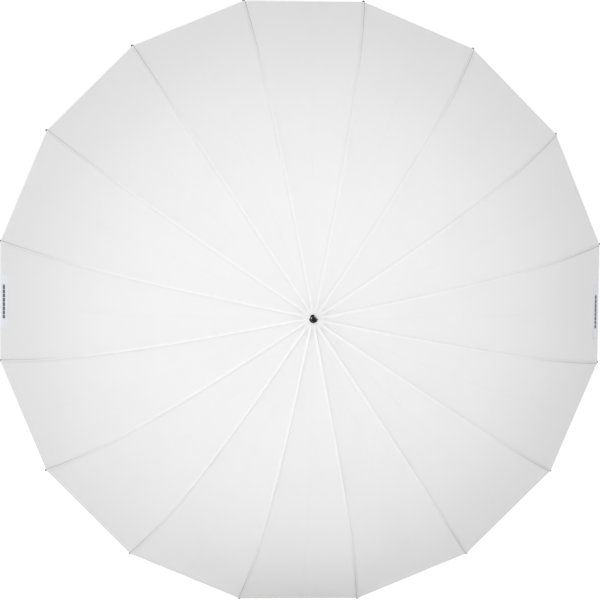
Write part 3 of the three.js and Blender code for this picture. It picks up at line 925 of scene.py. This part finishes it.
def thread_loop(along, thread=0.28 * MM, rounds=18, sides=6):
    """A closed loop round the rod and up to the inside of the fabric."""
    radius, place, slope = (float(v) for v in rib_line(along))
    reach = ROD_RADIUS + thread
    points = []
    for k in range(rounds):
        turn = 2 * math.pi * k / rounds
        up = math.cos(turn) * reach
        rise = 0.75 * MM if up > 0 else 0.0
        across = math.sin(turn) * reach
        middle = (radius + math.sin(slope) * (up + rise), place - math.cos(slope) * (up + rise), across)
        for j in range(sides):
            roll = 2 * math.pi * j / sides
            out = thread * math.cos(roll)
            lengthwise = thread * math.sin(roll)
            points.append((
                middle[0] + math.sin(slope) * math.cos(turn) * out + math.cos(slope) * lengthwise,
                middle[1] - math.cos(slope) * math.cos(turn) * out + math.sin(slope) * lengthwise,
                middle[2] + math.sin(turn) * out,
            ))
    faces = []
    for k in range(rounds):
        n = (k + 1) % rounds
        for j in range(sides):
            m = (j + 1) % sides
            faces.append((k * sides + j, k * sides + m, n * sides + m, n * sides + j))
    return np.array(points), faces


def stretcher(index):
    """Flat lacquered bar with an eye at each end and a pressed stiffening bead along each side."""
    outline = bar_outline(RUNNER_PIVOT, PIN, BAR_RADIUS)
    eyes = [circle_outline(RUNNER_PIVOT, EYE_RADIUS), circle_outline(PIN, PIN_EYE_RADIUS)]
    bar = flat_plate([outline] + eyes, -PLATE_HALF, PLATE_HALF)
    direction = np.subtract(PIN, RUNNER_PIVOT) / math.dist(PIN, RUNNER_PIVOT)
    ends = [np.add(RUNNER_PIVOT, direction * 22 * MM), np.subtract(PIN, direction * 12 * MM)]
    path = [ends[0] + (ends[1] - ends[0]) * t for t in (0, 0.01, 0.99, 1)]
    bead = swept(path, np.array([0.4, 1.22, 1.22, 0.4]) * MM, 14)
    piece = spoke_piece("stretcher_bar", index, joined(bar, bead), LACQUER)
    bevel_edges(piece, 0.15 * MM)
    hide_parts(f"stretcher_{number(index)}")
    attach(piece, f"stretcher_{number(index)}")


# ------------------------------------------------------------------ crown, runner and shaft
def fixed_piece(name, node, outline, material, segments=64, body="shaft", smooth_angle=35):
    points, faces = turned(outline, segments)
    piece = new_piece(name, points, faces, material, smooth_angle)
    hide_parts(node)
    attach(piece, body)
    return piece


def millimetres(outline, origin=0.0):
    return [(r * MM, origin + y * MM) for r, y in outline]


def cut_slots(piece, flange_y, open_side):
    """Sixteen slots for the tongues or bars, and the groove that the ring wire drops into."""
    slots = []
    for index in range(RIBS):
        along = (flange_y - 6 * MM, flange_y + 6 * MM)
        points, faces = block((10.5 * MM, 20 * MM), along, (-1.4 * MM, 1.4 * MM))
        slots.append((turn_to_spoke(points, index), faces))
    cut_away(piece, *joined(*slots))
    near, far = PIVOT[0] - 0.8 * MM, PIVOT[0] + 0.8 * MM
    low, high = sorted((flange_y - open_side * 0.8 * MM, flange_y + open_side * 5 * MM))
    cut_away(piece, *turned([(near, low), (far, low), (far, high), (near, high)], 64))


def crown_fittings():
    """Slotted collar and its ring wire, polished ferrule and black cap."""
    y = PIVOT[1]
    bore = 4.15
    notch = [
        (bore, -4), (16.4, -4), (17, -3.4), (17, 3.4), (16.4, 4), (10, 4),
        (10, 11.2), (9.2, 12), (bore, 12),
    ]
    piece = fixed_piece("crown_notch", "top_notch", millimetres(notch, y), PLASTIC, 96)
    cut_slots(piece, y, 1)
    ring_wire("crown_wire", "notch_wire", y, "shaft")

    low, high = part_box("ferrule")
    base, top, rim = high.y, low.y, high.x
    neck, dome = 6 * MM, 2.2 * MM
    outline = [(bore * MM, base), (rim - 0.5 * MM, base), (rim, base - 0.5 * MM)]
    for a in np.linspace(0, math.pi / 2, 15):
        outline.append((neck + (rim - neck) * math.cos(a), base - 2 * MM - dome * math.sin(a)))
    outline += [(neck, top + 0.6 * MM), (neck - 0.6 * MM, top), (bore * MM, top)]
    fixed_piece("crown_ferrule", "ferrule", outline, CHROME, 96, smooth_angle=30)

    low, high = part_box("top_cap")
    head = 5 * MM
    dome = [(head * math.cos(a), low.y + 2.6 * MM - 2.6 * MM * math.sin(a)) for a in np.linspace(0, 1.5, 9)]
    seat = low.y + 4.9 * MM
    cap = [(3.2 * MM, high.y), (3.2 * MM, seat), (head, seat), *dome]
    cap += [(0.05 * MM, low.y), (0.05 * MM, high.y)]
    fixed_piece("crown_cap", "top_cap", cap, PLASTIC, 64, smooth_angle=50)


def ring_wire(name, node, y, body):
    outline = circle_outline((PIVOT[0], y), WIRE_RADIUS, 12)
    fixed_piece(name, node, outline, WIRE_STEEL, 96, body, 60)


def runner():
    """Slotted crown, waisted sleeve and a grip with three rings."""
    y = RUNNER_PIVOT[1]
    outline = [
        (4.3, -4), (16.4, -4), (17, -3.4), (17, 3.4), (16.4, 4), (10.4, 4), (9.2, 6), (7.4, 11),
        (7, 13), (7, 37), (7.4, 38.2), (8.6, 39.6), (9, 40.2),
    ]
    for ring in range(3):
        at = 41.4 + 3 * ring
        outline += [(9, at), (8.4, at + 0.4), (8.4, at + 1), (9, at + 1.4)]
    outline += [(9, 50.4), (8.6, 51.4), (7.8, 52), (4.3, 52)]
    outline = millimetres(outline, y)
    piece = fixed_piece("runner_body", "runner", outline, PLASTIC, 96, "runner")
    cut_slots(piece, y, -1)
    ring_wire("runner_ring", "runner_wire", y, "runner")


def rolled_bead(start):
    """Outline of a bead rolled in the tube, which stops the runner."""
    return [
        (SHAFT_RADIUS + 1.2 * MM * math.sin(a) ** 2, start + 5 * MM * a / math.pi)
        for a in np.linspace(0, math.pi, 11)
    ]


def shaft():
    """Steel tube with two stop beads, the catch's window and the tail plug."""
    low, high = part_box("shaft_tube")
    runner_low, runner_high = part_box("runner")
    edge = 0.3 * MM
    outline = [(SHAFT_RADIUS - edge, low.y), (SHAFT_RADIUS, low.y + edge)]
    outline += rolled_bead(runner_low.y - 5.5 * MM)
    outline += rolled_bead(runner_high.y + RUNNER_TRAVEL + 0.5 * MM)
    outline += [(SHAFT_RADIUS, high.y - edge), (SHAFT_RADIUS - edge, high.y)]
    outline += [(SHAFT_BORE, high.y), (SHAFT_BORE, low.y)]
    piece = fixed_piece("shaft_rod", "shaft_tube", outline, SHAFT_STEEL, 64)
    catch_low, catch_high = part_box("catch_spring")
    window = block((-1 * MM, 1 * MM), (catch_low.y - 1 * MM, catch_high.y - 1 * MM), (2 * MM, 7 * MM))
    cut_away(piece, *window)

    plug = [(0.05, -14), (3.25, -14), (3.25, -1.9), (4, -1.9), (4, -0.5), (3.8, -0.15), (3.5, 0), (0.05, 0)]
    fixed_piece("shaft_plug", "tail_plug", millimetres(plug), PLASTIC, 64)


def catch():
    """Spring strip bent out through the shaft's window, with a square face that stops the runner."""
    low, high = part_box("catch_spring")
    nose, y = high.z, low.y
    outline = [(1.6 * MM, y), (nose - 0.6 * MM, y), (nose, y + 0.6 * MM), (nose, y + 2.6 * MM)]
    for t in np.linspace(0.05, 1, 8):
        outline.append((nose + (3 * MM - nose) * (1 - (1 - t) ** 1.6), y + 3 * MM + 25 * MM * t))
    outline += [(3 * MM, high.y), (1.6 * MM, high.y)]
    points, faces = flat_plate([outline], -0.6 * MM, 0.6 * MM)
    upright = np.stack([points[:, 2], points[:, 1], points[:, 0]], axis=1)
    piece = new_piece("catch_strip", upright, faces, WIRE_STEEL)
    bevel_edges(piece, 0.12 * MM)
    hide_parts("catch_spring")
    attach(piece, "catch")


# ------------------------------------------------------------------ stage, light and camera
RIM_Y = PIVOT[1] + RIB_LENGTH * line_back[-1]
WORLD_LIGHT, KEY_POWER, BACK_POWER = 0.69, 72, 25
CAMERA_DISTANCE = 6.0
RIM_HALF_VIEW = 0.6355  # half of the picture's width, measured at the rim
CAMERA_SIDE, CAMERA_HEIGHT = -0.364, 0.486  # from the shaft's line, so that the crown shows right and low
CAMERA_ROLL = math.radians(0.5)


def area_light(name, place, target, size, power):
    light = bpy.data.lights.new(name, "AREA")
    light.shape = "DISK"
    light.size = size
    light.energy = power
    made = new_object(name, light)
    made.location = place
    made.visible_glossy = False
    made.visible_camera = False
    direction = np.subtract(target, place)
    made.rotation_euler = Vector(direction).to_track_quat("-Z", "Y").to_euler()


def stage():
    low, _ = CAD_BOX
    size = 14.0
    depth = low.z - 4 * MM
    corners = [(-size, -size, depth), (size, -size, depth), (size, size, depth), (-size, size, depth)]
    mesh = new_mesh("studio_floor", corners, [(0, 1, 2, 3)])
    mesh.materials.append(floor_paint())
    new_object("studio_floor", mesh)

    studio_world()
    middle = (0, RIM_Y - 0.2, 0)
    area_light("key", (-0.8, RIM_Y - 4.2, 0.6), middle, 3.0, KEY_POWER)
    area_light("back", (-1.4, RIM_Y + 2.6, 1.0), middle, 2.0, BACK_POWER)


def studio_world():
    """Soft white light from all round. Metal reflects a dark room with two windows and a bright back wall."""
    world = bpy.data.worlds.new("studio")
    bpy.context.scene.world = world
    world.use_nodes = True
    world.node_tree.nodes.clear()
    build = Nodes(world.node_tree)

    def background(strength):
        return build.node("ShaderNodeBackground", {"Color": grey(1.0), "Strength": strength}).outputs[0]

    def facing(direction, low, high):
        """0 to 1 as the direction that is looked in comes nearer to a given one."""
        looked = build.node("ShaderNodeTexCoord").outputs["Generated"]
        given = Vector(direction).normalized()
        towards = build.node("ShaderNodeVectorMath", {0: looked, 1: given}, operation="DOT_PRODUCT")
        return build.step(towards.outputs["Value"], low, high)

    def choose(share, first, second):
        return build.node("ShaderNodeMixShader", {0: share, 1: first, 2: second}).outputs[0]

    reflected = background(0.03)
    back_wall = facing((0, 1, 0), 0.1, 0.5)
    right_window = facing((0.8, -0.3, 0.6), 0.7, 0.85)
    left_window = facing((-1, -0.3, 0.1), 0.76, 0.9)
    for share in (back_wall, right_window, left_window):
        reflected = choose(share, reflected, background(1.6))
    path = build.node("ShaderNodeLightPath").outputs
    lit = choose(path["Is Glossy Ray"], background(WORLD_LIGHT), reflected)
    shown = choose(path["Is Camera Ray"], lit, background(1.02))
    build.node("ShaderNodeOutputWorld", {"Surface": shown})


def camera():
    data = bpy.data.cameras.new("camera")
    made = new_object("camera", data)
    made.location = (CAMERA_SIDE, RIM_Y - CAMERA_DISTANCE, CAMERA_HEIGHT)
    aim = (-2 * MM, RIM_Y, 4 * MM)
    direction = Vector(np.subtract(aim, made.location))
    made.rotation_euler = direction.to_track_quat("-Z", "Y").to_euler()
    made.rotation_euler.rotate_axis("Z", CAMERA_ROLL)
    data.sensor_width = 36
    data.lens = data.sensor_width / 2 * CAMERA_DISTANCE / RIM_HALF_VIEW
    data.clip_end = 100
    bpy.context.scene.camera = made


# ------------------------------------------------------------------ assembly
sections = [canopy_section(index) for index in range(RIBS)]
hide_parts("canopy")
HALF_LABEL = LABEL_LENGTH / 2
right_upper = label_part("label_right_upper", 0, -1, HALF_LABEL + RIGHT_LABEL_SHIFT, 1)
label_part("label_right_lower", RIBS - 1, 1, HALF_LABEL - RIGHT_LABEL_SHIFT, -1)
left_upper = label_part("label_left_upper", RIBS // 2 - 1, 1, HALF_LABEL, 1)
label_part("label_left_lower", RIBS // 2, -1, HALF_LABEL, -1)
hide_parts("label_right")
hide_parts("label_left")
for spoke in range(RIBS):
    rib_rod(spoke)
    rib_tip(spoke)
    rib_tongue(spoke)
    rib_clip(spoke)
    rib_threads(spoke)
    stretcher(spoke)
crown_fittings()
runner()
shaft()
catch()
stage()
camera()
bpy.context.scene.view_settings.view_transform = "Standard"
